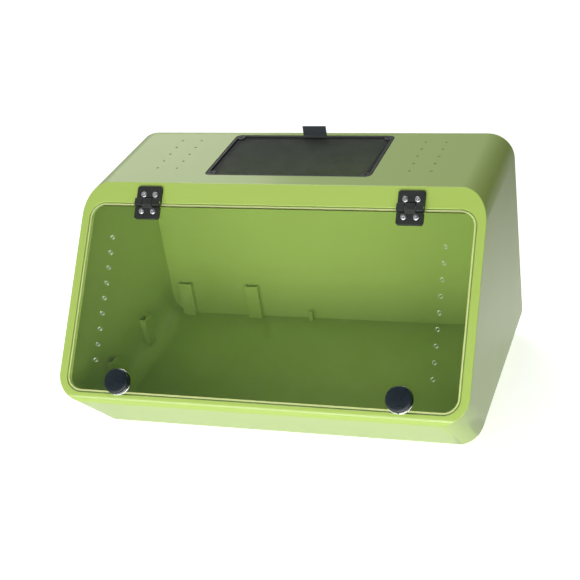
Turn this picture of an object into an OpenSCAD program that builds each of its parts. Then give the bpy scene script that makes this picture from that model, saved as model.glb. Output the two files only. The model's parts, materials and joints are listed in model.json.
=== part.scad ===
// Sloping-front ventilated enclosure with a clear flip-up door and a lift-out mesh lid.
// X runs left to right, Y front to back, Z up. The origin is on the resting plane, under the middle.

/* [Cabinet] */
// Overall width
body_w = 400; // [340:5:440]
// Height of the moulded shell, without its feet
shell_h = 221; // [200:1:240]
// Depth of the flat roof, back panel included
roof_d = 123; // [115:1:150]
// Depth of the flat floor, back panel included
floor_d = 212; // [200:1:225]
// Tilt of the front face from vertical, in degrees
face_tilt = 43; // [38:0.5:47]
// Length of the front face down its slope
face_len = 217; // [212:0.5:222]
// Wall thickness
wall = 5; // [4.5:0.25:6]
// Edge radius where the roof meets the sides
roof_edge_r = 25; // [18:1:32]
// Edge radius where the floor and the chin meet the sides
floor_edge_r = 27; // [20:1:32]
// Radius of the nose, between the face and the chin
nose_r = 7; // [4:0.5:9]
// Radius between the chin and the floor
chin_r = 10; // [4:0.5:12]

/* [Door] */
// Distance from the roof edge down to the door opening
door_top = 20.7; // [19:0.1:22]
// Bezel width at the left and right of the door opening
bezel_side = 8; // [7:0.25:10]
// Bezel width below the door opening
bezel_bottom = 9; // [8:0.25:11]
// Corner radius of the door opening
door_corner_r = 16; // [10:0.5:20]
// Gap all round the door
door_gap = 1; // [0.6:0.1:1.4]
// Thickness of the clear door panel
door_t = 3; // [2.5:0.1:3.2]
// Width of the stop ledge behind the door
ledge_w = 3.2; // [2:0.1:4.5]
// Width of the narrow ledge along the top edge of the door
top_ledge_w = 0.6; // [0.4:0.1:1]
// Radius of a vent hole in the door
door_vent_r = 1.6; // [1:0.1:2]
// Spacing of the door vent holes
door_vent_pitch = 15.1; // [13:0.1:15.5]
// Number of door vent holes in each column
door_vent_n = 9; // [3:1:9]

/* [Hinges and latches] */
// Distance of each hinge from the middle
hinge_x = 130; // [100:1:140]
// Width of a hinge
hinge_w = 25.6; // [24:0.2:30]
// Thickness of the fixed leaf
frame_leaf_t = 3; // [2.6:0.1:3.2]
// Thickness of the door leaf
door_leaf_t = 3.6; // [2.8:0.1:3.8]
// Radius of the hinge barrel
barrel_r = 3.8; // [3:0.1:3.8]
// Distance of each latch knob from the middle
latch_x = 137.2; // [110:1:145]
// Radius of a latch knob
knob_r = 12.2; // [11.8:0.1:13]
// Height of a latch knob above its base ring
knob_h = 6.6; // [5:0.1:8]
// Reach of the latch cam from its axis
cam_reach = 11.6; // [11:0.1:11.8]

/* [Lid] */
// Width of the roof window
lid_w = 168; // [120:2:190]
// Depth of the roof window
lid_d = 98; // [92:1:99]
// Thickness of the lid frame
lid_t = 2; // [1.6:0.1:2.4]
// Height that the pull tab stands above the roof
tab_h = 10; // [6:0.5:14]

/* [Feet] */
// Height of the rubber feet
foot_h = 3; // [2:0.5:5]
// Radius of the rubber feet
foot_r = 8; // [6:0.5:10]

/* [Hidden] */
$fn = 64;
big = 600;

// Smallest radius left inside a bend of the wall
least_r = 1.5;

// How far a cutter runs past what it cuts, and the clearances of pressed, turning and loose fits
past = 1;
press_fit = 0.02;
running_fit = 0.05;
loose_fit = 0.15;

lime = [0.58, 0.74, 0.24];
black_plastic = [0.12, 0.13, 0.13];
clear_acrylic = [0.80, 0.90, 0.84, 0.35];
bright_steel = [0.80, 0.81, 0.83];
rubber_black = [0.07, 0.07, 0.07];
mesh_grey = [0.15, 0.17, 0.15, 0.7];

// Latch position, measured down the face, and the heights of the knob's base and straight side
latch_s = 196.5;
ring_t = 1;
knob_base = ring_t + 0.1;
knob_bevel = 1.6;
knob_side_h = knob_h - knob_bevel;

// The lower rim of a knob is the foremost point of the part: the origin is midway to the back
reach = (latch_s + knob_r) * sin(face_tilt) + (knob_base + knob_side_h) * cos(face_tilt);
front_y = (reach - roof_d) / 2;
back_y = front_y + roof_d;
floor_z = foot_h;
roof_z = foot_h + shell_h;
back_t = 4;
rim_y = back_y - back_t;
half_w = body_w / 2;

// Door opening and panel, measured down the face
open_x = half_w - bezel_side;
open_s = face_len - bezel_bottom;
ledge_n = 3.2;
door_vent_x = 164.7;
door_vent_s = 55.4;

// Hinge axis, measured down the face and out of it
axis_s = door_top + door_gap / 2;
axis_n = 4;
hinge_top_s = 4.8;
hinge_bottom_s = 37.4;
frame_screw_s = 12.9;
door_screw_s = 29.8;
screw_dx = 5.9;
end_knuckle_w = 7.4;
knuckle_gap = 0.3;
knuckle_gap_r = barrel_r + 0.5;
barrel_flat_h = 2.2;
frame_web_reach = 4.9;
door_web_reach = 5.2;
leaf_corner_r = 2.5;
pin_r = 1.5;
screw_r = 1.5;
screw_head_r = 2.8;
screw_head_h = 1.6;
screw_clear_r = 1.65;
head_clear_r = screw_head_r + 0.35;
head_proud = 0.1;
screw_tip_proud = 0.6;

// A screw head's slots and sides, as shares of its radius or height
screw_slot_w = 0.22;
screw_slot_reach = 0.62;
screw_slot_floor = 0.35;
screw_side_h = 0.6;
screw_top_r = 0.72;

// Nuts
nut_flats_r = 3.1;
nut_t = 2.4;

// Latch
spindle_r = 3;
ring_lip = 0.6;
ring_bore_r = spindle_r + 0.5;
knob_dome_r = 60;
square_slack = 0.2;
latch_screw_length = 6;
cam_n = wall + 0.25;
cam_t = 2;
cam_w = 8;
square_w = 3.6;
latch_bore_r = 1.2;

// Roof vent holes: two columns at each side of the lid
roof_vent_r = 1.2;
roof_vent_xs = [117.8, 138.7];
roof_vent_y = front_y + 33.6;
roof_vent_pitch = 16.8;
roof_vent_n = 5;

// Lid seat
lid_y = front_y + 67.8;
lid_corner_r = 6;
window_corner_r = 4;
mesh_corner_r = 3;
magnet_land = 2;
seat_depth = lid_t + 0.2;
seat_gap = 0.4;
seat_ledge = 8;
lid_rim = 3;
magnet_r = 2.5;
magnet_t = 1.4;
magnet_slack = 0.05;
magnet_peep_r = 0.9;
magnet_inset = 6.2;
mesh_t = 0.4;
mesh_grip = 1;
mesh_slack = 0.1;
tab_w = 24.6;
tab_strip_t = 1.2;
tab_foot_d = 4.5;
tab_foot_t = 0.8;

// Feet
foot_chamfer = 0.8;
foot_inset_x = 36;
foot_inset_y = 22;
foot_x = half_w - foot_inset_x;
foot_front_y = back_y - floor_d + foot_inset_y;
foot_rear_y = back_y - foot_inset_y;

// Back panel screws
back_screw_r = 1;
back_screw_head_r = 1.9;
floor_screw_xs = [-150, -50, 50, 150];
roof_screw_xs = [-158, -102, 102, 158];
back_screw_length = 12;
back_bore_depth = 10;
back_head_depth = 1.2;

// Clips on the inner walls
clip_w = 15;
clip_d = 6.6;
clip_wall = 1.5;
clip_h = 39.5;
left_clip_x = -176;
mid_clip_x = -97;
rear_clip_y = front_y + 39;
front_clip_y = front_y - 45;
post_x = -32;
post_w = 4.4;
post_h = 11;

// ---------- helpers ----------

// Puts children on the front face: x across, s down the slope, n out of the face
module on_face(x = 0, s = 0, n = 0) {
    translate([0, front_y, roof_z])
        rotate([90 - face_tilt, 0, 0])
            translate([x, -s, n])
                children();
}

// Rounded rectangle from corner to corner, with one radius for its low end and one for its high end
module rounded_rect(x0, y0, x1, y1, r_low, r_high) {
    union() {
        translate([x0 + r_low, y0]) square([x1 - x0 - 2 * r_low, y1 - y0]);
        translate([x0, y0 + r_low]) square([x1 - x0, y1 - y0 - r_low - r_high]);
        translate([x0 + r_high, y0 + r_low]) square([x1 - x0 - 2 * r_high, y1 - y0 - r_low]);
        for (side = [x0 + r_low, x1 - r_low])
            translate([side, y0 + r_low]) circle(r_low);
        for (side = [x0 + r_high, x1 - r_high])
            translate([side, y1 - r_high]) circle(r_high);
    }
}

// A plain plate with four equal corners, standing on z = 0
module rounded_plate(x0, y0, x1, y1, r, t) {
    linear_extrude(t) rounded_rect(x0, y0, x1, y1, r, r);
}

function unit(v) = v / norm(v);

// Half of the angle at a corner
function half_angle(before, corner, after) =
    acos(unit(before - corner) * unit(after - corner)) / 2;

// The point inside a corner that is at distance d from both of its edges
function inset_point(before, corner, after, d) =
    corner + unit(unit(before - corner) + unit(after - corner))
        * d / sin(half_angle(before, corner, after));

// Where an arc of radius r at a corner meets the edge that leads to another point
function tangent_point(corner, other, half, r) = corner + unit(other - corner) * r / tan(half);

// ---------- the closed outer form, and the same form moved inwards by a wall ----------

roof_front = [front_y, roof_z];
nose = [front_y - face_len * sin(face_tilt), roof_z - face_len * cos(face_tilt)];
chin_foot = [back_y - floor_d, floor_z];
floor_back = [rim_y, floor_z];
roof_back = [rim_y, roof_z];
chin_turn = atan2(chin_foot[0] - nose[0], nose[1] - chin_foot[1]);

// Outline seen from the side, in Y and Z
module side_outline(inset, over) {
    top = inset_point(roof_back, roof_front, nose, inset);
    tip = inset_point(roof_front, nose, chin_foot, inset);
    low = inset_point(nose, chin_foot, floor_back, inset);
    low_end = [rim_y + over, floor_z + inset];
    top_end = [rim_y + over, roof_z - inset];
    tip_r = max(nose_r - inset, least_r);
    low_r = max(chin_r - inset, least_r);
    tip_half = half_angle(top, tip, low);
    low_half = half_angle(tip, low, low_end);
    union() {
        polygon([
            top,
            tangent_point(tip, top, tip_half, tip_r),
            tangent_point(tip, low, tip_half, tip_r),
            tangent_point(low, tip, low_half, low_r),
            tangent_point(low, low_end, low_half, low_r),
            low_end,
            top_end,
        ]);
        translate(inset_point(top, tip, low, tip_r)) circle(tip_r);
        translate(inset_point(tip, low, low_end, low_r)) circle(low_r);
    }
}

// Prism along Y with the tube's rounded section, from y_front back to y_end
module tube(inset, y_front, y_end) {
    x = half_w - inset;
    translate([0, y_end, 0])
        rotate([90, 0, 0])
            linear_extrude(y_end - y_front)
                rounded_rect(-x, floor_z + inset, x, roof_z - inset,
                    floor_edge_r - inset, roof_edge_r - inset);
}

// Prism along the chin, which rounds the edges between the chin and the sides
module chin_tube(inset) {
    x = half_w - inset;
    translate([0, nose[0], nose[1]])
        rotate([chin_turn, 0, 0])
            translate([0, 0, -big])
                linear_extrude(2 * big)
                    rounded_rect(-x, inset, x, big, floor_edge_r - inset, 1);
}

module outer_form(inset, over) {
    intersection() {
        tube(inset, -big, rim_y + over);
        rotate([90, 0, 90])
            translate([0, 0, -half_w])
                linear_extrude(body_w)
                    side_outline(inset, over);
        chin_tube(inset);
    }
}

// ---------- fasteners ----------

// Pan-head machine screw, head up, with the underside of its head on z = 0
module pan_screw(r, length, head_r, head_h) {
    slot_w = head_r * screw_slot_w;
    slot_x = head_r * screw_slot_reach;
    side_h = head_h * screw_side_h;
    difference() {
        union() {
            translate([0, 0, -length]) cylinder(h = length, r = r);
            cylinder(h = side_h, r = head_r);
            translate([0, 0, side_h])
                cylinder(h = head_h - side_h, r1 = head_r, r2 = head_r * screw_top_r);
        }
        for (turn = [0, 90])
            rotate([0, 0, turn])
                translate([-slot_x, -slot_w / 2, head_h * screw_slot_floor])
                    cube([2 * slot_x, slot_w, head_h]);
    }
}

// Hexagon nut standing on z = 0
module hex_nut() {
    difference() {
        cylinder(h = nut_t, r = nut_flats_r, $fn = 6);
        translate([0, 0, -past]) cylinder(h = nut_t + 2 * past, r = screw_r + press_fit);
    }
}

// The four places of the screws of one row, two in each hinge
module at_hinge_screws(s, n) {
    for (side = [-hinge_x, hinge_x])
        for (dx = [-screw_dx, screw_dx])
            on_face(side + dx, s, n) children();
}

// ---------- cabinet ----------

// Through holes in the roof, two columns of five on each side
module roof_vents() {
    for (side = [-1, 1])
        for (column = roof_vent_xs)
            for (row = [0 : roof_vent_n - 1])
                translate([side * column, roof_vent_y + roof_vent_pitch * row, roof_z - wall - past])
                    cylinder(h = wall + 2 * past, r = roof_vent_r);
}

module lid_seat() {
    x = lid_w / 2;
    y = lid_d / 2;
    in_x = x - seat_ledge;
    in_y = y - seat_ledge;
    translate([0, lid_y, roof_z - seat_depth])
        rounded_plate(-x, -y, x, y, lid_corner_r, seat_depth + past);
    translate([0, lid_y, roof_z - wall - past])
        rounded_plate(-in_x, -in_y, in_x, in_y, window_corner_r, wall + 2 * past);
}

module at_magnets(z) {
    x = lid_w / 2 - magnet_inset;
    y = lid_d / 2 - magnet_inset;
    for (side = [-x, x])
        for (end = [-y, y])
            translate([side, lid_y + end, z]) children();
}

// The clear opening through the front face, and the rebate that the door lies in
module door_opening() {
    in_x = open_x - ledge_w;
    on_face(0, 0, -ledge_n)
        rounded_plate(-open_x, -open_s, open_x, -door_top, door_corner_r, 2 * wall);
    on_face(0, 0, -2 * wall)
        rounded_plate(-in_x, -open_s + ledge_w, in_x, -door_top - top_ledge_w,
            door_corner_r - ledge_w, 2 * wall);
}

// Screws through the back panel into the rear edge of the shell
module at_back_screws(y) {
    for (x = floor_screw_xs)
        translate([x, y, floor_z + wall / 2]) rotate([-90, 0, 0]) children();
    for (x = roof_screw_xs)
        translate([x, y, roof_z - wall / 2]) rotate([-90, 0, 0]) children();
    for (x = [-half_w + wall / 2, half_w - wall / 2])
        translate([x, y, floor_z + shell_h / 2]) rotate([-90, 0, 0]) children();
}

module housing() {
    color(lime)
        difference() {
            outer_form(0, 0);
            outer_form(wall, wall);
            door_opening();
            roof_vents();
            lid_seat();
            at_magnets(roof_z - seat_depth - magnet_t)
                cylinder(h = magnet_t + past, r = magnet_r);
            at_hinge_screws(frame_screw_s, -wall - past)
                cylinder(h = wall + 2 * past, r = screw_clear_r);
            at_back_screws(rim_y - back_bore_depth)
                cylinder(h = back_bore_depth + past, r = back_screw_r + running_fit);
        }
}

module back_panel() {
    color(lime)
        difference() {
            tube(0, rim_y, back_y);
            at_back_screws(rim_y - past)
                cylinder(h = back_t + 2 * past, r = back_screw_r + loose_fit);
            at_back_screws(back_y - back_head_depth)
                cylinder(h = back_head_depth + past, r = back_screw_head_r + loose_fit);
        }
}

module back_panel_screws() {
    color(bright_steel)
        at_back_screws(back_y - back_head_depth)
            pan_screw(back_screw_r, back_screw_length, back_screw_head_r, back_head_depth);
}

module foot(x, y) {
    color(rubber_black)
        translate([x, y, 0]) {
            cylinder(h = foot_chamfer, r1 = foot_r - foot_chamfer, r2 = foot_r);
            translate([0, 0, foot_chamfer]) cylinder(h = foot_h - foot_chamfer, r = foot_r);
        }
}

module foot_front_left() { foot(-foot_x, foot_front_y); }
module foot_front_right() { foot(foot_x, foot_front_y); }
module foot_rear_left() { foot(-foot_x, foot_rear_y); }
module foot_rear_right() { foot(foot_x, foot_rear_y); }

// ---------- clips on the inner walls ----------

// Upright channel, open at the top and towards the wall at y = 0, standing on z = 0
module clip_channel() {
    inner_w = clip_w - 2 * clip_wall;
    difference() {
        translate([-clip_w / 2, -clip_d, 0]) cube([clip_w, clip_d, clip_h]);
        translate([-inner_w / 2, -clip_d + clip_wall, -past])
            cube([inner_w, clip_d, clip_h + 2 * past]);
    }
}

// Trims a clip to the rounded inside of the shell
module inside_shell() {
    intersection() {
        children();
        tube(wall, -big, rim_y);
    }
}

module back_clip(x) {
    color(lime)
        inside_shell()
            translate([x, rim_y, floor_z + wall]) clip_channel();
}

module side_clip(y) {
    color(lime)
        inside_shell()
            translate([-half_w + wall, y, floor_z + wall]) rotate([0, 0, 90]) clip_channel();
}

module wall_clip_back_left() { back_clip(left_clip_x); }
module wall_clip_back_mid() { back_clip(mid_clip_x); }
module wall_clip_side_rear() { side_clip(rear_clip_y); }
module wall_clip_side_front() { side_clip(front_clip_y); }

module locating_post() {
    color(lime)
        translate([post_x - post_w / 2, rim_y - clip_d, floor_z + wall])
            cube([post_w, clip_d, post_h]);
}

module roof_magnets() {
    color(bright_steel)
        at_magnets(roof_z - seat_depth - magnet_t)
            cylinder(h = magnet_t, r = magnet_r - magnet_slack);
}

// ---------- hinges ----------

// Outline of a leaf, straight at y0 and with rounded corners at y1
module leaf_outline(y0, y1) {
    x = hinge_w / 2;
    r = leaf_corner_r;
    union() {
        translate([-x, y0]) square([2 * x, y1 - y0 - r]);
        translate([r - x, y0]) square([2 * (x - r), y1 - y0]);
        for (side = [r - x, x - r])
            translate([side, y1 - r]) circle(r);
    }
}

// One stretch of the barrel, from x0 to x1 along the hinge axis
module barrel(x0, x1, r) {
    translate([x0, -axis_s, axis_n]) rotate([0, 90, 0]) cylinder(h = x1 - x0, r = r);
}

// A knuckle: a stretch of the barrel with a flat top
module knuckle(x0, x1) {
    intersection() {
        barrel(x0, x1, barrel_r);
        translate([x0 - past, -axis_s - barrel_r - past, axis_n - barrel_r - past])
            cube([x1 - x0 + 2 * past, 2 * (barrel_r + past), barrel_r + past + barrel_flat_h]);
    }
}

// Web that runs down from the barrel's side to the leaf, at distance reach from the axis
module knuckle_web(x0, x1, way, reach, leaf_t) {
    foot = [reach, leaf_t - axis_n];
    rise = atan2(foot[1], foot[0]) + acos(barrel_r / norm(foot));
    translate([x0, -axis_s, axis_n])
        rotate([90, 0, 90])
            linear_extrude(x1 - x0)
                polygon([
                    [0, 0],
                    [way * barrel_r * cos(rise), barrel_r * sin(rise)],
                    [way * foot[0], foot[1]],
                    [way * foot[0], -axis_n],
                    [0, -axis_n],
                ]);
}

// Screw holes of one leaf, with flat seats for the heads
module leaf_screw_holes(s, t) {
    for (dx = [-screw_dx, screw_dx])
        translate([dx, -s, 0]) {
            translate([0, 0, -past]) cylinder(h = t + 2 * past, r = screw_clear_r);
            translate([0, 0, t - screw_head_h + head_proud])
                cylinder(h = screw_head_h + past, r = head_clear_r);
        }
}

module frame_hinge_leaf(x) {
    half = hinge_w / 2;
    inner = half - end_knuckle_w;
    color(black_plastic)
        on_face(x, 0, 0)
            difference() {
                union() {
                    linear_extrude(frame_leaf_t) leaf_outline(-axis_s, -hinge_top_s);
                    for (x0 = [-half, inner]) {
                        knuckle(x0, x0 + end_knuckle_w);
                        knuckle_web(x0, x0 + end_knuckle_w, 1, frame_web_reach, frame_leaf_t);
                    }
                }
                translate([-inner, -axis_s - past, -past])
                    cube([2 * inner, past + knuckle_gap_r, frame_leaf_t + 2 * past]);
                barrel(-half - past, half + past, pin_r + press_fit);
                leaf_screw_holes(frame_screw_s, frame_leaf_t);
            }
}

module door_hinge_leaf(x) {
    half = hinge_w / 2;
    inner = half - end_knuckle_w - knuckle_gap;
    color(black_plastic)
        on_face(x, 0, 0)
            difference() {
                union() {
                    linear_extrude(door_leaf_t)
                        mirror([0, 1]) leaf_outline(axis_s, hinge_bottom_s);
                    knuckle(-inner, inner);
                    knuckle_web(-inner, inner, -1, door_web_reach, door_leaf_t);
                }
                for (side = [-half - past, inner])
                    translate([side, -axis_s - knuckle_gap_r, -past])
                        cube([half + past - inner, knuckle_gap_r + past, door_leaf_t + 2 * past]);
                barrel(-inner - past, inner + past, pin_r + running_fit);
                leaf_screw_holes(door_screw_s, door_leaf_t);
            }
}

module hinge_pin(x) {
    color(bright_steel)
        on_face(x, 0, 0)
            barrel(-hinge_w / 2, hinge_w / 2, pin_r);
}

module frame_hinge_leaf_left() { frame_hinge_leaf(-hinge_x); }
module frame_hinge_leaf_right() { frame_hinge_leaf(hinge_x); }
module door_hinge_leaf_left() { door_hinge_leaf(-hinge_x); }
module door_hinge_leaf_right() { door_hinge_leaf(hinge_x); }
module hinge_pin_left() { hinge_pin(-hinge_x); }
module hinge_pin_right() { hinge_pin(hinge_x); }

module frame_hinge_screws() {
    seat = frame_leaf_t - screw_head_h + head_proud;
    color(bright_steel)
        at_hinge_screws(frame_screw_s, seat)
            pan_screw(screw_r, seat + wall + nut_t + screw_tip_proud, screw_head_r, screw_head_h);
}

module door_hinge_screws() {
    seat = door_leaf_t - screw_head_h + head_proud;
    color(bright_steel)
        at_hinge_screws(door_screw_s, seat)
            pan_screw(screw_r, seat + door_t + nut_t + screw_tip_proud, screw_head_r, screw_head_h);
}

module frame_hinge_nuts() {
    color(bright_steel) at_hinge_screws(frame_screw_s, -wall - nut_t) hex_nut();
}

module door_hinge_nuts() {
    color(bright_steel) at_hinge_screws(door_screw_s, -door_t - nut_t) hex_nut();
}

// ---------- door ----------

module door_panel() {
    x = open_x - door_gap;
    top = door_top + door_gap;
    bottom = open_s - door_gap;
    color(clear_acrylic)
        difference() {
            on_face(0, 0, -door_t)
                rounded_plate(-x, -bottom, x, -top, door_corner_r - door_gap, door_t);
            for (side = [-door_vent_x, door_vent_x])
                for (i = [0 : door_vent_n - 1])
                    on_face(side, door_vent_s + i * door_vent_pitch, -door_t - past)
                        cylinder(h = door_t + 2 * past, r = door_vent_r);
            at_hinge_screws(door_screw_s, -door_t - past)
                cylinder(h = door_t + 2 * past, r = screw_clear_r);
            for (side = [-latch_x, latch_x])
                on_face(side, latch_s, -door_t - past)
                    cylinder(h = door_t + 2 * past, r = spindle_r + running_fit);
        }
}

// ---------- latches ----------

module latch_ring(x) {
    color(bright_steel)
        on_face(x, latch_s, 0)
            difference() {
                cylinder(h = ring_t, r = knob_r + ring_lip);
                translate([0, 0, -past]) cylinder(h = ring_t + 2 * past, r = ring_bore_r);
            }
}

// Low knob with a shallow dome, on a spindle whose square end drives the cam
module latch_knob(x) {
    color(black_plastic)
        on_face(x, latch_s, 0)
            difference() {
                union() {
                    intersection() {
                        union() {
                            translate([0, 0, knob_base]) cylinder(h = knob_side_h, r = knob_r);
                            translate([0, 0, knob_base + knob_side_h])
                                cylinder(h = knob_bevel, r1 = knob_r, r2 = knob_r - knob_bevel);
                        }
                        translate([0, 0, knob_base + knob_h - knob_dome_r]) sphere(knob_dome_r);
                    }
                    translate([0, 0, -cam_n])
                        cylinder(h = cam_n + knob_base + past, r = spindle_r);
                    translate([-square_w / 2, -square_w / 2, square_slack / 2 - cam_n - cam_t])
                        cube([square_w, square_w, cam_t + past]);
                }
                translate([0, 0, -cam_n - cam_t - past])
                    cylinder(h = latch_screw_length + cam_t + past, r = latch_bore_r);
            }
}

// Flat cam behind the door, lying towards -X while the latch is open
module latch_cam(x) {
    r = cam_w / 2;
    hole_w = square_w + square_slack;
    color(bright_steel)
        on_face(x, latch_s, -cam_n - cam_t)
            difference() {
                union() {
                    cylinder(h = cam_t, r = r);
                    translate([r - cam_reach, -r, 0]) cube([cam_reach - r, cam_w, cam_t]);
                    translate([r - cam_reach, 0, 0]) cylinder(h = cam_t, r = r);
                }
                translate([-hole_w / 2, -hole_w / 2, -past])
                    cube([hole_w, hole_w, cam_t + 2 * past]);
            }
}

module latch_screw(x) {
    color(bright_steel)
        on_face(x, latch_s, -cam_n - cam_t)
            rotate([180, 0, 0])
                pan_screw(latch_bore_r - running_fit, latch_screw_length,
                    screw_head_r, screw_head_h);
}

module latch_ring_left() { latch_ring(-latch_x); }
module latch_ring_right() { latch_ring(latch_x); }
module latch_knob_left() { latch_knob(-latch_x); }
module latch_knob_right() { latch_knob(latch_x); }
module latch_cam_left() { latch_cam(-latch_x); }
module latch_cam_right() { latch_cam(latch_x); }
module latch_screw_left() { latch_screw(-latch_x); }
module latch_screw_right() { latch_screw(latch_x); }

// ---------- lid ----------

// Area of the mesh, cut back around the corner magnets
module mesh_outline(margin) {
    x = lid_w / 2 - seat_gap - lid_rim + margin;
    y = lid_d / 2 - seat_gap - lid_rim + margin;
    mx = lid_w / 2 - magnet_inset;
    my = lid_d / 2 - magnet_inset;
    difference() {
        rounded_rect(-x, -y, x, y, mesh_corner_r + margin, mesh_corner_r + margin);
        for (side = [-mx, mx])
            for (end = [-my, my])
                translate([side, end]) circle(magnet_r + magnet_land - margin);
    }
}

module lid_frame() {
    x = lid_w / 2 - seat_gap;
    y = lid_d / 2 - seat_gap;
    z = roof_z - seat_depth;
    color(black_plastic)
        difference() {
            translate([0, lid_y, z])
                rounded_plate(-x, -y, x, y, lid_corner_r - seat_gap, lid_t);
            translate([0, lid_y, z - past]) linear_extrude(lid_t + 2 * past) mesh_outline(0);
            translate([0, lid_y, z - past]) linear_extrude(mesh_t + past) mesh_outline(mesh_grip);
            at_magnets(z - past) cylinder(h = magnet_t + past, r = magnet_r);
            at_magnets(z) cylinder(h = lid_t + past, r = magnet_peep_r);
        }
}

module lid_mesh() {
    color(mesh_grey)
        translate([0, lid_y, roof_z - seat_depth])
            linear_extrude(mesh_t) mesh_outline(mesh_grip - mesh_slack);
}

module lid_magnets() {
    color(bright_steel)
        at_magnets(roof_z - seat_depth)
            cylinder(h = magnet_t, r = magnet_r - magnet_slack);
}

// Bent strip: a foot on the rear rim of the lid, and an upright to pull
module lid_tab() {
    z = roof_z - seat_depth + lid_t;
    rear = lid_y + lid_d / 2 - seat_gap;
    color(rubber_black)
        union() {
            translate([-tab_w / 2, rear - tab_foot_d, z])
                cube([tab_w, tab_foot_d, tab_foot_t]);
            translate([-tab_w / 2, rear - tab_strip_t, z])
                cube([tab_w, tab_strip_t, roof_z + tab_h - z]);
        }
}

housing();
back_panel();
back_panel_screws();
foot_front_left();
foot_front_right();
foot_rear_left();
foot_rear_right();
frame_hinge_leaf_left();
frame_hinge_leaf_right();
frame_hinge_screws();
frame_hinge_nuts();
hinge_pin_left();
hinge_pin_right();
wall_clip_back_left();
wall_clip_back_mid();
wall_clip_side_rear();
wall_clip_side_front();
locating_post();
roof_magnets();
door_panel();
door_hinge_leaf_left();
door_hinge_leaf_right();
door_hinge_screws();
door_hinge_nuts();
latch_ring_left();
latch_ring_right();
latch_knob_left();
latch_cam_left();
latch_screw_left();
latch_knob_right();
latch_cam_right();
latch_screw_right();
lid_frame();
lid_mesh();
lid_tab();
lid_magnets();
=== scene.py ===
import json
import math

import bmesh
import bpy
from mathutils import Matrix, Vector


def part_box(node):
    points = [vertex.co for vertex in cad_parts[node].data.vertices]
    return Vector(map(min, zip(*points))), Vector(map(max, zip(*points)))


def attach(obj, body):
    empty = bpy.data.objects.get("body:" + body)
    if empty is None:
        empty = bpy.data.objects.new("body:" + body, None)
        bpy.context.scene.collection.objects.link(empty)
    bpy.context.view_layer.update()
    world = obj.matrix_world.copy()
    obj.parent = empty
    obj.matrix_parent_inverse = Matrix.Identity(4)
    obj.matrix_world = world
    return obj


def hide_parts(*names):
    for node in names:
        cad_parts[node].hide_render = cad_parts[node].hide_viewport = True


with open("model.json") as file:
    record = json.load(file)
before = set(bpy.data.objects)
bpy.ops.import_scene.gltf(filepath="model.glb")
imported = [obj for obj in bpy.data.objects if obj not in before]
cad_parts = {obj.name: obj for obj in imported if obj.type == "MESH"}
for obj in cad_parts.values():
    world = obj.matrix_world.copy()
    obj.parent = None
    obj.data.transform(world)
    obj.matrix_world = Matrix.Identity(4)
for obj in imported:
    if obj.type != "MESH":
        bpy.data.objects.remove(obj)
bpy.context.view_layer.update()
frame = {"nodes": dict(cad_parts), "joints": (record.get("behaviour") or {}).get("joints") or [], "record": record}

MM = 0.001
RECORD = frame["record"]
JOINTS = {joint["name"]: joint for joint in frame["joints"]}
BODY_OF = {node: body for body, nodes in RECORD["behaviour"]["bodies"].items() for node in nodes}
SLOT_OF = {part["node"]: part["material_slot"] for part in RECORD["subparts"]}

# Colours, as linear red, green and blue
LIME = (0.432, 0.603, 0.120)
LIME_WORN = (0.550, 0.700, 0.276)
CHARCOAL = (0.018, 0.022, 0.019)
LID_BLACK = (0.012, 0.016, 0.013)
NAVY_BLACK = (0.010, 0.017, 0.022)
TAPE_BLUE = (0.010, 0.016, 0.020)
WIRE_GREY = (0.034, 0.038, 0.038)
RUBBER = (0.022, 0.022, 0.021)
STEEL = (0.62, 0.62, 0.64)
CHROME = (0.82, 0.82, 0.84)
CLEAR = (0.968, 0.982, 0.962)
# Painted glow: the pale green of the sheet's cut edges stands in for light piped out of the sheet
EDGE_GLOW_GREEN = (0.62, 0.78, 0.45)
# Painted glint: the near-white, mostly opaque hole walls stand in for highlights on the holes' rims
HOLE_GLINT_WHITE = (0.95, 1.00, 0.92)
# Painted glow: the pale lime veil on the door's border stands in for light caught at the sheet's margin and for
# the lit ledge under it
PAINTED_BORDER_GLOW = (0.92, 0.99, 0.44)
DUST = (0.80, 0.90, 0.62)
ACRYLIC_IOR = 1.49

# The door's margin, which is painted a pale glow that stands in for light, the longest facet that a small hole's
# rim has, how far a turned knob stays inside the CAD model's faceted one, and the distance at which a CAD mesh's
# corners are one point
DOOR_BORDER = 1.7 * MM
HOLE_FACET = 0.9 * MM
FACET_DEPTH = 0.06 * MM
SAME_POINT = 0.002 * MM

# Studio: the surroundings' glow ahead of and behind the object, the azimuth they are brightest at, the
# floor's own glow near and away from the object, and the distances from its centre between which that
# glow fades, how bright the floor and the surroundings look to the eye, the height that the softboxes
# aim at, and each softbox's name, azimuth, elevation, distance, width, height and radiance
GLOW_AHEAD = 0.02
GLOW_BEHIND = 0.50
GLOW_AZIMUTH = -125
FLOOR_GLOW = 0.50
FLOOR_GLOW_AWAY = 0.08
FLOOR_GLOW_FADE = (0.30, 0.62)
FLOOR_GLOW_SEEN = 0.70
SURROUNDINGS_SEEN = 0.95
SOFTBOX_AIM = 0.12
SOFTBOXES = [
    ("front_low_softbox", 4, 3, 2.4, 1.0, 0.8, 6.6),
    ("front_high_softbox", 4, 14, 2.4, 1.0, 1.0, 5.6),
    ("left_softbox", -24, 12, 2.4, 1.0, 1.0, 4.2),
    ("right_softbox", 34, 9, 2.4, 1.0, 1.0, 5.0),
    ("rear_softbox", -146, 25, 1.6, 0.6, 0.6, 0.9),
    ("top_softbox", -150, 60, 1.6, 0.9, 0.9, 2.8),
]


# ---------------------------------------------------------------- the face's own axes

UP = Vector((0, 0, 1))
ACROSS = Vector((1, 0, 0))
PARALLEL = 0.99  # the cosine from which two directions count as one
FACE_OUT = Vector(JOINTS["latch_left_turn"]["axis"]).normalized()


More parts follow.
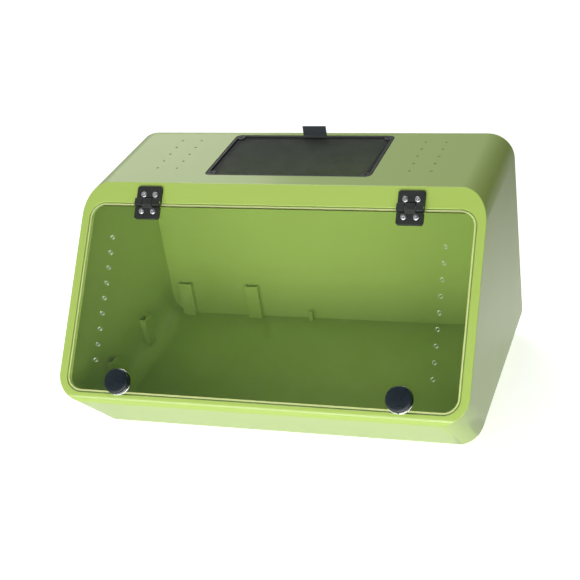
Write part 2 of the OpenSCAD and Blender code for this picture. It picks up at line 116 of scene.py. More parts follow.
def axes_at(origin, out, across=ACROSS):
    """The matrix whose Z points along out and whose origin is at a point."""
    z_axis = Vector(out).normalized()
    if abs(z_axis.dot(across)) > PARALLEL:
        across = UP
    y_axis = z_axis.cross(across).normalized()
    x_axis = y_axis.cross(z_axis)
    turned = Matrix((x_axis, y_axis, z_axis)).transposed().to_4x4()
    return Matrix.Translation(origin) @ turned


# ---------------------------------------------------------------- materials


class Graph:
    """A material's node tree: add() makes a node and sets or links its inputs."""

    def __init__(self, name):
        self.material = bpy.data.materials.new(name)
        self.material.use_nodes = True
        self.tree = self.material.node_tree
        self.tree.nodes.clear()

    def add(self, kind, inputs=None, **settings):
        node = self.tree.nodes.new("ShaderNode" + kind)
        for key, value in settings.items():
            setattr(node, key, value)
        for key, value in (inputs or {}).items():
            if isinstance(value, bpy.types.NodeSocket):
                self.tree.links.new(value, node.inputs[key])
            else:
                node.inputs[key].default_value = value
        return node

    def place(self):
        return self.add("TexCoord").outputs["Object"]

    def noise(self, scale, detail=3.0, roughness=0.5, vector=None):
        inputs = {"Scale": scale, "Detail": detail, "Roughness": roughness}
        inputs["Vector"] = vector or self.place()
        return self.add("TexNoise", inputs).outputs["Fac"]

    def stretch(self, x, y, z):
        return self.add("Mapping", {"Vector": self.place(), "Scale": (x, y, z)}).outputs["Vector"]

    def ranged(self, value, low, high, from_low=0.3, from_high=0.7):
        inputs = {"Value": value, 1: from_low, 2: from_high, 3: low, 4: high}
        return self.add("MapRange", inputs).outputs[0]

    def blend(self, factor, first, second):
        node = self.add("Mix", {0: factor}, data_type="RGBA")
        for socket, value in ((node.inputs[6], first), (node.inputs[7], second)):
            if isinstance(value, bpy.types.NodeSocket):
                self.tree.links.new(value, socket)
            else:
                socket.default_value = (*value, 1)
        return node.outputs[2]

    def maths(self, operation, first, second):
        return self.add("Math", {0: first, 1: second}, operation=operation).outputs[0]

    def bump(self, height, depth, strength=1.0, before=None):
        inputs = {"Height": height, "Distance": depth, "Strength": strength}
        if before:
            inputs["Normal"] = before
        return self.add("Bump", inputs).outputs["Normal"]

    def edge_mask(self, radius, gain):
        """Near 1 along convex and concave edges, and 0 on open surfaces."""
        rounded = self.add("Bevel", {"Radius": radius}, samples=4).outputs[0]
        flat = self.add("NewGeometry").outputs["Normal"]
        alike = self.add("VectorMath", {0: rounded, 1: flat}, operation="DOT_PRODUCT").outputs["Value"]
        return self.ranged(self.maths("SUBTRACT", 1.0, alike), 0.0, 1.0, 0.01, gain)

    def principled(self, **inputs):
        named = {key.replace("_", " "): value for key, value in inputs.items()}
        for key, value in named.items():
            if isinstance(value, tuple) and len(value) == 3 and "Color" in key or key == "Specular Tint":
                named[key] = (*value, 1)
        return self.add("BsdfPrincipled", named).outputs[0]

    def output(self, shader):
        self.add("OutputMaterial", {"Surface": shader})
        return self.material


def moulded_lime():
    g = Graph("lime_moulded_plastic")
    cloud = g.noise(9, 3)
    speck = g.noise(900, 2)
    colour = g.blend(g.ranged(cloud, 0, 0.10), LIME, LIME_WORN)
    colour = g.blend(g.ranged(speck, 0, 0.06), colour, tuple(0.72 * c for c in LIME))
    scuffed = g.maths("MULTIPLY", g.edge_mask(0.0007, 0.3), g.ranged(g.noise(60), 0.2, 1))
    colour = g.blend(g.maths("MULTIPLY", scuffed, 0.30), colour, LIME_WORN)
    smudge = g.noise(26, 2, 0.5)
    rough = g.ranged(smudge, 0.29, 0.34, 0.1, 0.9)
    texture = g.bump(g.noise(2600, 2, 0.6), 0.00004, 0.35)
    return g.output(g.principled(
        Base_Color=colour, Roughness=rough, IOR=1.52, Normal=texture, Coat_Weight=0.6, Coat_Roughness=0.16,
    ))


def moulded_black(name, colour, grain_scale, grain_depth, rough_low, rough_high):
    """Dark moulded plastic with a leather-like grain that wears shiny along its edges."""
    g = Graph(name)
    cells = g.add("TexVoronoi", {"Vector": g.place(), "Scale": grain_scale}, feature="SMOOTH_F1").outputs[0]
    worn = g.edge_mask(0.0005, 0.35)
    tone = g.blend(g.ranged(g.noise(300), 0, 0.4), colour, tuple(1.5 * c for c in colour))
    tone = g.blend(g.maths("MULTIPLY", worn, 0.35), tone, tuple(2.6 * c for c in colour))
    polish = g.maths("MULTIPLY", worn, 0.12)
    rough = g.maths("SUBTRACT", g.ranged(g.noise(120), rough_low, rough_high), polish)
    surface = g.bump(cells, grain_depth, 0.8)
    surface = g.bump(g.noise(2200, 2), 0.00003, 0.5, surface)
    return g.output(g.principled(Base_Color=tone, Roughness=rough, IOR=1.5, Normal=surface))


def metal(name, colour, rough_low, rough_high, streaks=(400, 400, 60)):
    """Bright metal with fine scratches, faint stains and softer polish in places."""
    g = Graph(name)
    scratch = g.noise(3, 4, 0.6, g.stretch(*streaks))
    stain = g.noise(220, 4)
    tone = g.blend(g.ranged(stain, 0, 0.35), colour, tuple(0.72 * c for c in colour))
    rough = g.ranged(scratch, rough_low, rough_high)
    return g.output(g.principled(
        Base_Color=tone, Metallic=1.0, Roughness=rough, Normal=g.bump(scratch, 0.00002, 0.25),
    ))


def rubber():
    g = Graph("rubber_feet")
    tone = g.blend(g.ranged(g.noise(180), 0, 1), RUBBER, tuple(1.8 * c for c in RUBBER))
    dust = g.ranged(g.noise(700, 4), 0.62, 0.9)
    grain = g.bump(g.noise(1500), 0.00008, 0.6)
    return g.output(g.principled(Base_Color=tone, Roughness=dust, Normal=grain))


def woven_tape():
    """Close-woven synthetic tape: two crossed waves make the weave."""
    g = Graph("woven_pull_tape")
    threads = []
    for scale, direction in ((210, "X"), (260, "Z")):
        inputs = {"Vector": g.place(), "Scale": scale, "Distortion": 0.6}
        threads.append(g.add("TexWave", inputs, bands_direction=direction).outputs[1])
    weave = g.maths("MULTIPLY", *threads)
    tone = g.blend(weave, TAPE_BLUE, tuple(2.1 * c for c in TAPE_BLUE))
    tone = g.blend(g.ranged(g.noise(90), 0, 0.4), tone, tuple(1.7 * c for c in TAPE_BLUE))
    return g.output(g.principled(
        Base_Color=tone, Roughness=0.66, Normal=g.bump(weave, 0.00018, 0.8),
        Sheen_Weight=0.35, Sheen_Roughness=0.4,
    ))


def screen_wire():
    g = Graph("screen_wire")
    tone = g.blend(g.ranged(g.noise(40), 0, 1), WIRE_GREY, tuple(1.7 * c for c in WIRE_GREY))
    rough = g.ranged(g.noise(500), 0.32, 0.48)
    grain = g.bump(g.noise(3000), 0.00002, 0.4)
    return g.output(g.principled(Base_Color=tone, Roughness=rough, Normal=grain))


def clear_sheet(name, dust_and_glow, dust_and_glow_low, dust_and_glow_high):
    """Polished acrylic: light goes through, the surface mirrors it, and a diffuse veil covers it: a thin one of
    real dust on the open sheet, and a thick one painted as a pale glow where the border uses it.
    """
    g = Graph(name)
    faint = g.noise(7, 3)
    tint = g.blend(g.ranged(faint, 0, 0.25), CLEAR, tuple(0.97 * c for c in CLEAR))
    scratch = g.noise(5, 5, 0.7, g.stretch(90, 700, 700))
    rough = g.ranged(scratch, 0.02, 0.10, 0.45, 0.75)
    surface = g.bump(g.noise(5, 1), 0.0005, 0.04)
    through = g.add("BsdfTransparent", {"Color": tint}).outputs[0]
    mirror = g.add("BsdfGlossy", {"Roughness": rough, "Normal": surface}).outputs[0]
    # The ray isn't bent inside the sheet, so both faces must mirror as if met from the air
    inside = g.add("NewGeometry").outputs["Backfacing"]
    density = g.ranged(inside, ACRYLIC_IOR, 1 / ACRYLIC_IOR, 0, 1)
    facing = g.add("Fresnel", {"IOR": density, "Normal": surface}).outputs[0]
    clean = g.add("MixShader", {0: facing, 1: through, 2: mirror}).outputs[0]
    veil = g.add("BsdfDiffuse", {"Color": (*dust_and_glow, 1)}).outputs[0]
    share = g.ranged(g.noise(55, 5, 0.7), dust_and_glow_low, dust_and_glow_high)
    return g.output(g.add("MixShader", {0: share, 1: clean, 2: veil}).outputs[0])


def clear_cut(name, colour, clear_share):
    """A cut wall of the sheet, painted a pale colour that stands in for the light that runs inside the sheet and
    comes out here: a painted glow.
    """
    g = Graph(name)
    saw = g.noise(3, 4, 0.6, g.stretch(900, 300, 300))
    tone = g.blend(g.ranged(saw, 0, 1), colour, tuple(0.7 * c for c in colour))
    body = g.principled(
        Base_Color=tone, Roughness=g.ranged(saw, 0.08, 0.22), IOR=1.6, Normal=g.bump(saw, 0.00005, 0.4),
    )
    through = g.add("BsdfTransparent", {"Color": (*CLEAR, 1)}).outputs[0]
    return g.output(g.add("MixShader", {0: clear_share, 1: body, 2: through}).outputs[0])


def studio_paper():
    """Pale sweep that looks near white, and lights the object with less than it shows."""
    g = Graph("studio_paper")
    pale = g.blend(g.ranged(g.noise(3, 2), 0, 1), (0.90, 0.90, 0.90), (0.93, 0.93, 0.93))
    away = g.add("VectorMath", {0: g.place()}, operation="LENGTH").outputs["Value"]
    seen = g.add("LightPath").outputs["Is Camera Ray"]
    tone = g.blend(seen, (0.45, 0.45, 0.45), pale)
    cast = g.ranged(away, FLOOR_GLOW, FLOOR_GLOW_AWAY, *FLOOR_GLOW_FADE)
    glow = g.add("Mix", {0: seen, 2: cast, 3: FLOOR_GLOW_SEEN}).outputs[0]
    return g.output(g.principled(
        Base_Color=tone, Roughness=0.9, Specular_IOR_Level=0.1,
        Emission_Color=(1.0, 1.0, 1.0), Emission_Strength=glow,
    ))


MATERIALS = {
    "shell": moulded_lime(),
    "clear_door": clear_sheet("clear_acrylic_sheet", DUST, 0.004, 0.014),
    # The door's border: a veil painted as a pale glow, standing in for light
    "clear_border": clear_sheet("clear_acrylic_border_painted_glow", PAINTED_BORDER_GLOW, 0.48, 0.60),
    # Cut edges painted pale green: a painted glow
    "clear_edge": clear_cut("clear_acrylic_edge_painted_glow", EDGE_GLOW_GREEN, 0.35),
    # Hole walls painted near white: painted glints
    "clear_hole": clear_cut("clear_acrylic_hole_painted_glint", HOLE_GLINT_WHITE, 0.12),
    "hinge_plastic": moulded_black("hinge_moulding", CHARCOAL, 1500, 0.00012, 0.42, 0.55),
    "knob_plastic": moulded_black("knob_moulding", NAVY_BLACK, 2600, 0.00003, 0.24, 0.34),
    "lid_plastic": moulded_black("lid_moulding", LID_BLACK, 2200, 0.00006, 0.46, 0.58),
    "mesh_screen": screen_wire(),
    "pull_tab": woven_tape(),
    "magnet": metal("nickel_plate", STEEL, 0.18, 0.30),
    "chrome_ring": metal("polished_chrome", CHROME, 0.06, 0.14),
    "bare_steel": metal("plain_steel", STEEL, 0.28, 0.45),
    "screw_steel": metal("bright_zinc", CHROME, 0.30, 0.42),
    "rubber": rubber(),
}
MATERIALS["shell_back"] = MATERIALS["shell"]
MATERIALS["shell_clip"] = MATERIALS["shell"]


# ---------------------------------------------------------------- mesh helpers


def make_piece(name, bm, nodes):
    """Turns a bmesh into a piece that stands for some CAD nodes and rides on their body."""
    mesh = bpy.data.meshes.new(name)
    bmesh.ops.recalc_face_normals(bm, faces=bm.faces[:])
    bm.to_mesh(mesh)
    bm.free()
    piece = bpy.data.objects.new(name, mesh)
    bpy.context.scene.collection.objects.link(piece)
    slot_name = SLOT_OF[nodes[0]]
    mesh.materials.append(MATERIALS[slot_name])
    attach(piece, BODY_OF[nodes[0]])
    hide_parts(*nodes)
    return piece


def shade(piece, angle):
    """Smooth shading with hard edges above an angle in degrees."""
    mesh = piece.data
    for polygon in mesh.polygons:
        polygon.use_smooth = True
    mesh.set_sharp_from_angle(angle=math.radians(angle))
    return piece


def cad_bmesh(node):
    """A CAD node's own surface, joined up, with its flat faces whole."""
    bm = bmesh.new()
    bm.from_mesh(frame["nodes"][node].data)
    bmesh.ops.remove_doubles(bm, verts=bm.verts[:], dist=SAME_POINT)
    bmesh.ops.dissolve_limit(
        bm, angle_limit=math.radians(0.2), verts=bm.verts[:], edges=bm.edges[:], delimit={"NORMAL"},
    )
    return bm


def softened(node, width, segments=2, angle=32, bm=None, shortest=0):
    """The CAD shape with its sharp edges rounded, save the short ones, which are the rims of small holes."""
    bm = bm or cad_bmesh(node)
    weights = bm.edges.layers.float.new("bevel_weight_edge")
    for edge in bm.edges:
        sharp = edge.calc_face_angle(0) > math.radians(angle)
        edge[weights] = 1.0 if sharp and edge.calc_length() > shortest else 0.0
    piece = make_piece(node + "_piece", bm, [node])
    rounding = piece.modifiers.new("rounding", "BEVEL")
    rounding.width = width
    rounding.segments = segments
    rounding.limit_method = "WEIGHT"
    rounding.use_clamp_overlap = False
    rounding.loop_slide = False
    rounding.miter_outer = "MITER_ARC"
    rounding.harden_normals = False
    flattening = piece.modifiers.new("flattening", "WEIGHTED_NORMAL")
    flattening.keep_sharp = True
    return shade(piece, 40)


def islands(node):
    """The separate solids of a CAD node, each as a list of points."""
    bm = bmesh.new()
    bm.from_mesh(frame["nodes"][node].data)
    bmesh.ops.remove_doubles(bm, verts=bm.verts[:], dist=SAME_POINT)
    found, seen = [], set()
    for start in bm.verts:
        if start in seen:
            continue
        group, waiting = [], [start]
        seen.add(start)
        while waiting:
            vertex = waiting.pop()
            group.append(vertex.co.copy())
            for edge in vertex.link_edges:
                other = edge.other_vert(vertex)
                if other not in seen:
                    seen.add(other)
                    waiting.append(other)
        found.append(group)
    bm.free()
    return found


def measure(points, out):
    """A turned solid's axes, heights and radius: (matrix at its axis, low, high, radius)."""
    turned = axes_at((0, 0, 0), out).to_3x3()
    local = [turned.transposed() @ point for point in points]
    low = Vector(map(min, zip(*local)))
    high = Vector(map(max, zip(*local)))
    middle = (low + high) / 2
    radius = max(math.hypot(p.x - middle.x, p.y - middle.y) for p in local)
    origin = turned @ Vector((middle.x, middle.y, 0))
    return axes_at(origin, out), low.z, high.z, radius


def lathe(bm, profile, matrix, steps=72):
    """Turns a profile of (radius, height) points about Z into closed rings in a bmesh."""
    rings = []
    for radius, height in profile:
        if radius < 1e-9:
            rings.append([bm.verts.new(matrix @ Vector((0, 0, height)))])
            continue
        ring = []
        for step in range(steps):
            turn = 2 * math.pi * step / steps
            spot = Vector((radius * math.cos(turn), radius * math.sin(turn), height))
            ring.append(bm.verts.new(matrix @ spot))
        rings.append(ring)
    for lower, upper in zip(rings, rings[1:]):
        for step in range(steps):
            after = (step + 1) % steps
            corners = [lower[step % len(lower)], lower[after % len(lower)]]
            corners += [upper[after % len(upper)], upper[step % len(upper)]]
            corners = list(dict.fromkeys(corners))
            if len(corners) > 2:
                bm.faces.new(corners)


def arc(centre, radius, start, end, count):
    """Points of an arc in a profile, with its angles in degrees."""
    angles = [math.radians(start + (end - start) * i / count) for i in range(count + 1)]
    return [(centre[0] + radius * math.cos(a), centre[1] + radius * math.sin(a)) for a in angles]


def applied(piece):
    """Bakes a piece's modifiers into its mesh."""
    graph = bpy.context.evaluated_depsgraph_get()
    made = bpy.data.meshes.new_from_object(piece.evaluated_get(graph))
    piece.modifiers.clear()
    piece.data = made
    return piece


# ---------------------------------------------------------------- screws


def pan_head_mesh(head_r, head_h, shank_r, length):
    """A pan-head screw about Z, its head's underside at 0, with a cross recess."""
    edge = 0.32 * head_h
    tip = 0.4 * MM
    neck = 1.0 * MM
    rim = 0.15 * MM
    pitch = 0.5 * MM
    depth = 0.16 * MM
    profile = [(0, -length), (shank_r - 0.3 * MM, -length), (shank_r, -length + tip)]
    height = -length + tip + 0.2 * MM
    while height < -neck - 0.2 * MM:
        profile += [(shank_r, height), (shank_r - depth, height + pitch / 2)]
        height += pitch
    profile += [(shank_r, -neck), (shank_r, 0), (head_r - rim, 0), (head_r, rim)]
    profile += [(head_r, head_h - edge)]
    sink = head_h * 0.22
    for i in range(1, 9):
        share = i / 8
        radius = head_r * math.cos(share * math.pi / 2)
        rise = head_h - edge + (edge - sink) * math.sin(share * math.pi / 2)
        profile.append((radius, rise + sink * (1 - (radius / head_r) ** 2)))
    bm = bmesh.new()
    lathe(bm, profile, Matrix.Identity(4), 40)
    bmesh.ops.recalc_face_normals(bm, faces=bm.faces[:])
    body_mesh = bpy.data.meshes.new("screw_body")
    bm.to_mesh(body_mesh)
    bm.free()
    body = bpy.data.objects.new("screw_body", body_mesh)
    bpy.context.scene.collection.objects.link(body)
    cutters = []
    for turn in (0, 90):
        cut = bmesh.new()
        bmesh.ops.create_cube(cut, size=1)
        arm, wide, deep = head_r * 1.25, head_r * 0.34, head_h * 0.75
        for vertex in cut.verts:
            taper = 0.55 if vertex.co.z < 0 else 1.0
            vertex.co.x *= arm * taper
            vertex.co.y *= wide * (0.8 if vertex.co.z < 0 else 1.0)
            vertex.co.z = head_h * 1.02 if vertex.co.z > 0 else head_h - deep
        bmesh.ops.rotate(cut, verts=cut.verts[:], matrix=Matrix.Rotation(math.radians(turn), 3, "Z"))
        cut_mesh = bpy.data.meshes.new("recess")
        cut.to_mesh(cut_mesh)
        cut.free()
        cutter = bpy.data.objects.new("recess", cut_mesh)
        bpy.context.scene.collection.objects.link(cutter)
        modifier = body.modifiers.new("recess", "BOOLEAN")
        modifier.operation = "DIFFERENCE"
        modifier.solver = "EXACT"
        modifier.object = cutter
        cutters.append(cutter)
    bpy.context.view_layer.update()
    applied(body)
    made = body.data.copy()
    for spare in [body, *cutters]:
        bpy.data.objects.remove(spare)
    return made


def screws(node, out, turn_step):
    """The screws of one node, each turned to a different angle, as one piece."""
    bm = bmesh.new()
    for index, solid in enumerate(islands(node)):
        axes, low, high, head_r = measure(solid, out)
        local = [axes.inverted() @ p for p in solid]
        under = min(p.z for p in local if math.hypot(p.x, p.y) > 0.9 * head_r)
        shank_r = max(math.hypot(p.x, p.y) for p in local if p.z < low + 0.1 * MM)
        mesh = pan_head_mesh(head_r, high - under, shank_r, under - low)
        turned = axes @ Matrix.Translation((0, 0, under))
        turned = turned @ Matrix.Rotation(math.radians(17 + turn_step * index), 4, "Z")
        mesh.transform(turned)
        bm.from_mesh(mesh)
        bpy.data.meshes.remove(mesh)
    return shade(make_piece(node + "_piece", bm, [node]), 35)


# ---------------------------------------------------------------- the pieces


def shell_pieces():
    softened("housing", 0.45 * MM, 2, 30, shortest=HOLE_FACET)
    softened("back_panel", 0.45 * MM, 2, 30, shortest=HOLE_FACET)
    for node in sorted(frame["nodes"]):
        if node.startswith("wall_clip"):
            softened(node, 0.2 * MM, 2)
    softened("locating_post", 0.3 * MM, 2)


def foot(node):
    """A moulded foot: rounded rim, a waist near the top, and a dished sole with a centre screw recess."""
    low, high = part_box(node)
    middle = (low + high) / 2
    radius = (high.x - low.x) / 2
    tall = high.z - low.z
    dish = 0.5 * MM
    rim_r = 0.7 * MM
    waist = 0.25 * MM
    profile = [(0, dish), (radius * 0.45, dish), (radius * 0.5, 0.6 * dish), (radius * 0.62, 0.0)]
    profile += arc((radius - rim_r, rim_r), rim_r, -90, 0, 6)
    profile += [(radius, tall - 2 * waist), (radius - waist, tall - waist)]
    profile += [(radius - waist, tall), (0, tall)]
    bm = bmesh.new()
    lathe(bm, profile, Matrix.Translation((middle.x, middle.y, low.z)), 64)
    shade(make_piece(node + "_piece", bm, [node]), 35)


def latch(side):
    """A turned knob with a domed top, its polished base ring, and its spindle."""
    joint = JOINTS[f"latch_{side}_turn"]
    axes = axes_at(Vector(joint["pos_m"]), FACE_OUT)
    knob = f"latch_knob_{side}"
    local = [axes.inverted() @ v.co for v in frame["nodes"][knob].data.vertices]
    radius = max(math.hypot(p.x, p.y) for p in local) - FACET_DEPTH
    top = max(p.z for p in local)
    bottom = min(p.z for p in local)
    base = min(p.z for p in local if math.hypot(p.x, p.y) > 0.9 * radius)
    spindle_r = max(math.hypot(p.x, p.y) for p in local if p.z < -1 * MM)
    shoulder = 1.7 * MM
    dome = 0.55 * MM
    tenon_r = 1.7 * MM
    tenon_top = -5.25 * MM
    skirt = 0.4 * MM
    profile = [(0, bottom), (tenon_r - 0.2 * MM, bottom), (tenon_r, bottom + 0.3 * MM)]
    profile += [(tenon_r, tenon_top), (spindle_r, tenon_top), (spindle_r, base)]
    profile += [(radius - skirt, base), (radius, base + skirt)]
    profile += arc((radius - shoulder, top - dome - shoulder), shoulder, 0, 78, 9)
    for i in range(1, 9):
        share = 1 - i / 8
        reach = (radius - shoulder) * share
        profile.append((reach, top - dome * share ** 2 * 0.92))
    bm = bmesh.new()
    lathe(bm, profile, axes, 96)
    shade(make_piece(knob + "_piece", bm, [knob]), 50)

    ring = f"latch_ring_{side}"
    points = [axes.inverted() @ v.co for v in frame["nodes"][ring].data.vertices]
    ring_r = max(math.hypot(p.x, p.y) for p in points)
    bore_r = min(math.hypot(p.x, p.y) for p in points)
    ring_top = max(p.z for p in points)
    ring_round = 0.5 * MM
    ring_chamfer = 0.2 * MM
    profile = [(bore_r, 0), (ring_r - 0.1 * MM, 0)]
    profile += arc((ring_r - ring_round, ring_top - ring_round), ring_round, -20, 90, 7)
    profile += [(bore_r + ring_chamfer, ring_top), (bore_r, ring_top - ring_chamfer), (bore_r, 0)]
    bm = bmesh.new()
    lathe(bm, profile, axes, 96)
    bmesh.ops.remove_doubles(bm, verts=bm.verts[:], dist=0.0005 * MM)
    shade(make_piece(ring + "_piece", bm, [ring]), 40)
    softened(f"latch_cam_{side}", 0.2 * MM)
    screws(f"latch_screw_{side}", -FACE_OUT, 0)


def door_pieces():
    """The clear sheet: a border painted as a pale glow where it lies on the ledge, cut edges painted pale green as
    a glow, and hole walls painted near white as glints.
    """
    bm = cad_bmesh("door_panel")
    turned = axes_at((0, 0, 0), FACE_OUT).to_3x3()
    flat = [turned.transposed() @ vertex.co for vertex in bm.verts]
    low = Vector(map(min, zip(*flat)))
    high = Vector(map(max, zip(*flat)))
    corner_x = max(p.x for p in flat if p.y > high.y - 0.01 * MM)
    radius = high.x - corner_x - DOOR_BORDER
    cuts = []
    for side in (-1, 1):
        for end in (-1, 1):
            centre = Vector(((low.x + high.x) / 2, (low.y + high.y) / 2, high.z))
            centre.x += side * ((high.x - low.x) / 2 - DOOR_BORDER - radius)
            centre.y += end * ((high.y - low.y) / 2 - DOOR_BORDER - radius)
            for step in range(9):
                turn = math.pi / 2 * step / 8
                out = Vector((side * math.cos(turn), end * math.sin(turn), 0))
                cuts.append((turned @ (centre + out * radius), turned @ out))
    for place, out in cuts:
        everything = bm.verts[:] + bm.edges[:] + bm.faces[:]
        bmesh.ops.bisect_plane(bm, geom=everything, dist=0.001 * MM, plane_co=place, plane_no=out)
    door = softened("door_panel", 0.25 * MM, 2, 40, bm=bm)
    for extra in ("clear_border", "clear_edge", "clear_hole"):
        door.data.materials.append(MATERIALS[extra])
    # Material 1 is the border painted as a pale glow, 2 the cut edges painted pale green as a glow, and 3 the hole
    # walls painted near white as glints
    for polygon in door.data.polygons:
        beyond = max((polygon.center - place).dot(out) for place, out in cuts)
        facing = polygon.normal.dot(FACE_OUT)
        if abs(facing) > 0.9:
            polygon.material_index = 1 if beyond > 0 and facing > 0 else 0
        else:
            polygon.material_index = 2 if beyond > 0 else 3


def hinge_pieces():
    for side in ("left", "right"):
        softened(f"frame_hinge_leaf_{side}", 0.35 * MM, 3)
        softened(f"door_hinge_leaf_{side}", 0.35 * MM, 3)
        pin_ends(f"hinge_pin_{side}")
    screws("frame_hinge_screws", FACE_OUT, 31)
    screws("door_hinge_screws", FACE_OUT, 43)
    softened("frame_hinge_nuts", 0.25 * MM)
    softened("door_hinge_nuts", 0.25 * MM)


def pin_ends(node):
    """A hinge pin with peened, slightly domed ends."""
    axes, low, high, radius = measure([v.co for v in frame["nodes"][node].data.vertices], ACROSS)
    crown = 0.05 * MM
    peened = 0.35 * MM
    profile = [(0, low), (radius * 0.55, low + crown), (radius, low + peened)]
    profile += [(radius, high - peened), (radius * 0.55, high - crown), (0, high)]
    bm = bmesh.new()
    lathe(bm, profile, axes, 32)
    shade(make_piece(node + "_piece", bm, [node]), 50)


def woven_screen():
    """Crossed wires that pass over and under each other, clipped to the lid's opening."""
    low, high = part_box("lid_mesh")
    middle = (low + high) / 2
    half_x = (high.x - low.x) / 2
    half_y = (high.y - low.y) / 2
    magnets = [sum(solid, Vector()) / len(solid) for solid in islands("lid_magnets")]
    magnet_x = max(m.x for m in magnets) - middle.x
    magnet_y = max(m.y for m in magnets) - middle.y
    clear_r = 3.6 * MM
    pitch = 1.15 * MM
    wire_r = 0.20 * MM
    sway = wire_r * 1.02
    height = low.z + wire_r + sway
    rim_gap = 0.5 * MM
    end_gap = 0.3 * MM
    bm = bmesh.new()

    def reach_at(offset, magnet_offset, edge, magnet_edge):
        """How far a wire at this offset runs: to the rim, or to a corner magnet where one is in its way."""
        return edge if abs(offset) < magnet_offset - clear_r else magnet_edge - clear_r

    def wire(points):
        rings = []
        for index, point in enumerate(points):
            ahead = points[min(index + 1, len(points) - 1)] - points[max(index - 1, 0)]
            ahead.normalize()
            side = ahead.cross(UP).normalized()
            lift = side.cross(ahead)
            ring = []
            for step in range(4):
                turn = math.pi / 4 + math.pi / 2 * step
                spot = point + side * wire_r * math.cos(turn) + lift * wire_r * math.sin(turn)
                ring.append(bm.verts.new(spot))
            rings.append(ring)
        for first, second in zip(rings, rings[1:]):
            for step in range(4):
                after = (step + 1) % 4
                bm.faces.new([first[step], first[after], second[after], second[step]])
        bm.faces.new(rings[0][::-1])
        bm.faces.new(rings[-1])

    count_x = int((half_x - rim_gap) / pitch)
    count_y = int((half_y - rim_gap) / pitch)
    for i in range(-count_x, count_x + 1):
        reach = reach_at(i * pitch, magnet_x, half_y, magnet_y)
        crossings = [j for j in range(-count_y, count_y + 1) if abs(j * pitch) < reach - end_gap]
        spots = [(-reach, 0), *((j * pitch, 1 if (i + j) % 2 else -1) for j in crossings), (reach, 0)]
        wire([Vector((middle.x + i * pitch, middle.y + y, height + sway * up)) for y, up in spots])
    for j in range(-count_y, count_y + 1):
        reach = reach_at(j * pitch, magnet_y, half_x, magnet_x)
        crossings = [i for i in range(-count_x, count_x + 1) if abs(i * pitch) < reach - end_gap]
        spots = [(-reach, 0), *((i * pitch, -1 if (i + j) % 2 else 1) for i in crossings), (reach, 0)]
        wire([Vector((middle.x + x, middle.y + j * pitch, height + sway * up)) for x, up in spots])
    shade(make_piece("lid_mesh_piece", bm, ["lid_mesh"]), 60)


def lid_pieces():
    softened("lid_frame", 0.35 * MM, 3)
    woven_screen()
    softened("lid_tab", 0.4 * MM, 3)
    softened("lid_magnets", 0.2 * MM)
    softened("roof_magnets", 0.2 * MM)


shell_pieces()
for foot_node in ("foot_front_left", "foot_front_right", "foot_rear_left", "foot_rear_right"):
    foot(foot_node)
door_pieces()
hinge_pieces()
for latch_side in ("left", "right"):
    latch(latch_side)
lid_pieces()
screws("back_panel_screws", Vector((0, 1, 0)), 37)


# ---------------------------------------------------------------- studio


def studio_floor():
    """A pale floor with a gently raised rim, well beyond the object."""
    bm = bmesh.new()
    lathe(bm, [(0, 0), (1.0, 0), (2.4, 0), (3.0, 0.03)], Matrix.Identity(4), 48)
    mesh = bpy.data.meshes.new("studio_floor")
    bm.to_mesh(mesh)
    bm.free()
    mesh.materials.append(studio_paper())
    floor = bpy.data.objects.new("studio_floor", mesh)
    bpy.context.scene.collection.objects.link(floor)


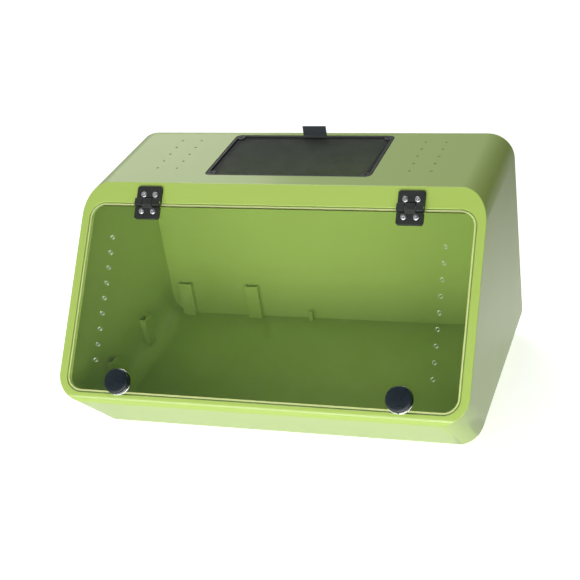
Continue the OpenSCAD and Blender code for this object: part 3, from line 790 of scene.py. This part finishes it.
def softbox(name, azimuth, elevation, distance, width, height, radiance):
    """An area light that faces the object; azimuth 0 is in front, and positive is to the right."""
    turn, rise = math.radians(azimuth), math.radians(elevation)
    towards = Vector((math.sin(turn) * math.cos(rise), -math.cos(turn) * math.cos(rise), math.sin(rise)))
    light = bpy.data.lights.new(name, "AREA")
    light.shape = "RECTANGLE"
    light.size = width
    light.size_y = height
    light.energy = radiance * math.pi * width * height
    lamp = bpy.data.objects.new(name, light)
    lamp.location = Vector((0, 0, SOFTBOX_AIM)) + towards * distance
    lamp.rotation_euler = towards.to_track_quat("Z", "Y").to_euler()
    lamp.visible_camera = False
    bpy.context.scene.collection.objects.link(lamp)


def studio_world():
    """Soft surroundings: dim ahead of the object and brighter behind it, and near white to the eye."""
    world = bpy.data.worlds.new("studio")
    bpy.context.scene.world = world
    world.use_nodes = True
    tree = world.node_tree
    turn = math.radians(GLOW_AZIMUTH)
    place = tree.nodes.new("ShaderNodeTexCoord")
    towards = tree.nodes.new("ShaderNodeVectorMath")
    towards.operation = "DOT_PRODUCT"
    towards.inputs[1].default_value = (math.sin(turn), -math.cos(turn), 0.15)
    glow = tree.nodes.new("ShaderNodeMapRange")
    glow.interpolation_type = "SMOOTHSTEP"
    for socket, value in zip(glow.inputs[1:5], (-0.1, 0.9, GLOW_AHEAD, GLOW_BEHIND)):
        socket.default_value = value
    tree.links.new(place.outputs["Generated"], towards.inputs[0])
    tree.links.new(towards.outputs["Value"], glow.inputs["Value"])
    seen = tree.nodes.new("ShaderNodeLightPath")
    strength = tree.nodes.new("ShaderNodeMix")
    strength.inputs[3].default_value = SURROUNDINGS_SEEN
    tree.links.new(seen.outputs["Is Camera Ray"], strength.inputs[0])
    tree.links.new(glow.outputs["Result"], strength.inputs[2])
    tree.links.new(strength.outputs[0], tree.nodes["Background"].inputs["Strength"])
    tree.nodes["Background"].inputs["Color"].default_value = (1.0, 1.0, 1.0, 1)


def studio_camera():
    data = bpy.data.cameras.new("camera")
    data.sensor_width = 36
    data.lens = 82.25
    data.shift_x = -0.0898
    data.shift_y = 0.1319
    data.clip_start = 0.05
    data.clip_end = 20
    camera = bpy.data.objects.new("camera", data)
    camera.location = (0.4314, -1.05345, 0.7243)
    camera.rotation_euler = [math.radians(a) for a in (58.118, 6.532, 16.212)]
    bpy.context.scene.collection.objects.link(camera)
    bpy.context.scene.camera = camera


studio_floor()
studio_world()
for light_row in SOFTBOXES:
    softbox(*light_row)
studio_camera()
bpy.context.scene.view_settings.view_transform = "Standard"
